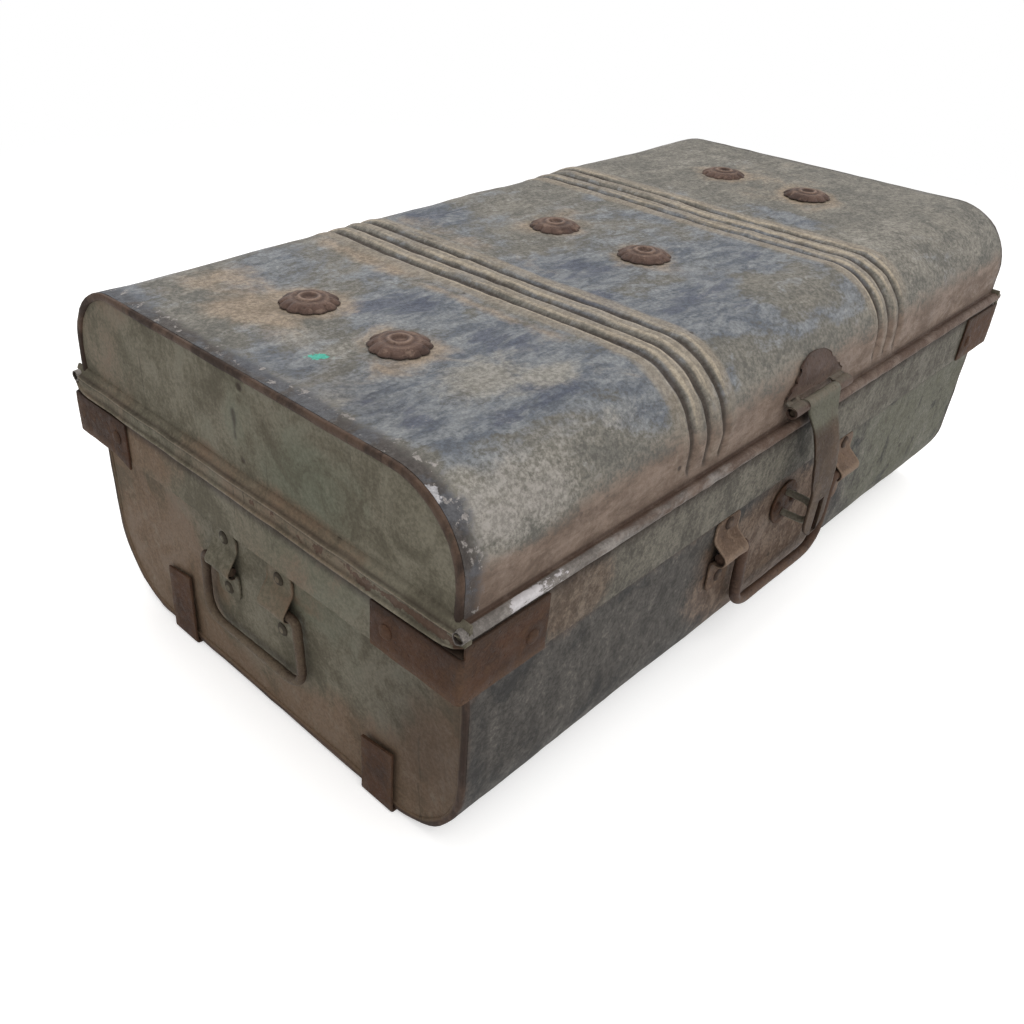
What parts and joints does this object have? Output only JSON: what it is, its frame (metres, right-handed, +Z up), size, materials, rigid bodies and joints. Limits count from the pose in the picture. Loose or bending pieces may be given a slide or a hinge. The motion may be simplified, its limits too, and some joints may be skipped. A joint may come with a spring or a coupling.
{
  "type": "metal travel trunk",
  "caption": "Painted sheet-steel travel trunk with a domed hinged lid, a hasp over a staple, corner brackets, pressed rosettes and drop handles.",
  "frame": {"origin": "under the middle of the part on the floor plane, halfway between the hasp's face and the hinges' backs", "axes": "+X along the trunk to its right end seen from the front, +Y from the hasp to the hinges, +Z up"},
  "size_m": [0.6746, 0.3994, 0.2598],
  "materials": {
    "tub_paint": "worn dark green-grey paint with rust",
    "end_paint": "worn olive paint with rust",
    "lid_paint": "worn slate-grey paint with bare patches",
    "rusty_steel": "rusted dark brown",
    "handle_wire": "rusted wire, rubbed smooth",
    "worn_steel": "dull worn steel"
  },
  "bodies": {
    "tub": {"tub_shell": "tub_paint", "tub_end_left": "end_paint", "tub_end_right": "end_paint", "skid_strap_front": "rusty_steel", "skid_strap_back": "rusty_steel", "corner_bracket_front_left": "rusty_steel", "corner_bracket_front_right": "rusty_steel", "corner_bracket_back_left": "rusty_steel", "corner_bracket_back_right": "rusty_steel", "bracket_rivet_long_front_left": "rusty_steel", "bracket_rivet_end_front_left": "rusty_steel", "bracket_rivet_long_front_right": "rusty_steel", "bracket_rivet_end_front_right": "rusty_steel", "bracket_rivet_long_back_left": "rusty_steel", "bracket_rivet_end_back_left": "rusty_steel", "bracket_rivet_long_back_right": "rusty_steel", "bracket_rivet_end_back_right": "rusty_steel", "front_handle_lug_a": "rusty_steel", "front_handle_lug_b": "rusty_steel", "front_handle_rivet_a_lower": "rusty_steel", "front_handle_rivet_a_upper": "rusty_steel", "front_handle_rivet_b_lower": "rusty_steel", "front_handle_rivet_b_upper": "rusty_steel", "left_handle_lug_a": "end_paint", "left_handle_lug_b": "end_paint", "left_handle_rivet_a_lower": "rusty_steel", "left_handle_rivet_a_upper": "rusty_steel", "left_handle_rivet_b_lower": "rusty_steel", "left_handle_rivet_b_upper": "rusty_steel", "right_handle_lug_a": "end_paint", "right_handle_lug_b": "end_paint", "right_handle_rivet_a_lower": "rusty_steel", "right_handle_rivet_a_upper": "rusty_steel", "right_handle_rivet_b_lower": "rusty_steel", "right_handle_rivet_b_upper": "rusty_steel", "staple_plate": "rusty_steel", "staple": "rusty_steel", "hinge_base_leaf_left": "rusty_steel", "hinge_base_leaf_right": "rusty_steel", "hinge_pin_left": "worn_steel", "hinge_pin_right": "worn_steel"},
    "lid": {"lid_shell": "lid_paint", "lid_end_left": "end_paint", "lid_end_right": "end_paint", "rosette_left_front": "rusty_steel", "rosette_left_back": "rusty_steel", "rosette_middle_front": "rusty_steel", "rosette_middle_back": "rusty_steel", "rosette_right_front": "rusty_steel", "rosette_right_back": "rusty_steel", "hinge_lid_leaf_left": "rusty_steel", "hinge_lid_leaf_right": "rusty_steel", "hasp_leaf": "rusty_steel", "hasp_pin": "worn_steel"},
    "hasp": {"hasp_strap": "rusty_steel"},
    "front_bail": {"front_handle_bail": "handle_wire"},
    "left_bail": {"left_handle_bail": "handle_wire"},
    "right_bail": {"right_handle_bail": "handle_wire"}
  },
  "joints": [
    {"name": "lid_hinge", "type": "hinge", "parent": "tub", "child": "lid", "pos_m": [0, 0.1953, 0.181], "axis": [-1, 0, 0], "range_deg": [0, 105]},
    {"name": "hasp_swing", "type": "hinge", "parent": "lid", "child": "hasp", "pos_m": [0.002, -0.1797, 0.1985], "axis": [-1, 0, 0], "range_deg": [-10, 140]},
    {"name": "front_bail_swing", "type": "hinge", "parent": "tub", "child": "front_bail", "pos_m": [0.002, -0.1802, 0.1105], "axis": [-1, 0, 0], "range_deg": [0, 150]},
    {"name": "left_bail_swing", "type": "hinge", "parent": "tub", "child": "left_bail", "pos_m": [-0.32468, 0.0113, 0.10058], "axis": [0, 1, 0], "range_deg": [0, 160]},
    {"name": "right_bail_swing", "type": "hinge", "parent": "tub", "child": "right_bail", "pos_m": [0.32468, 0.0113, 0.10058], "axis": [0, -1, 0], "range_deg": [0, 160]}
  ]
}
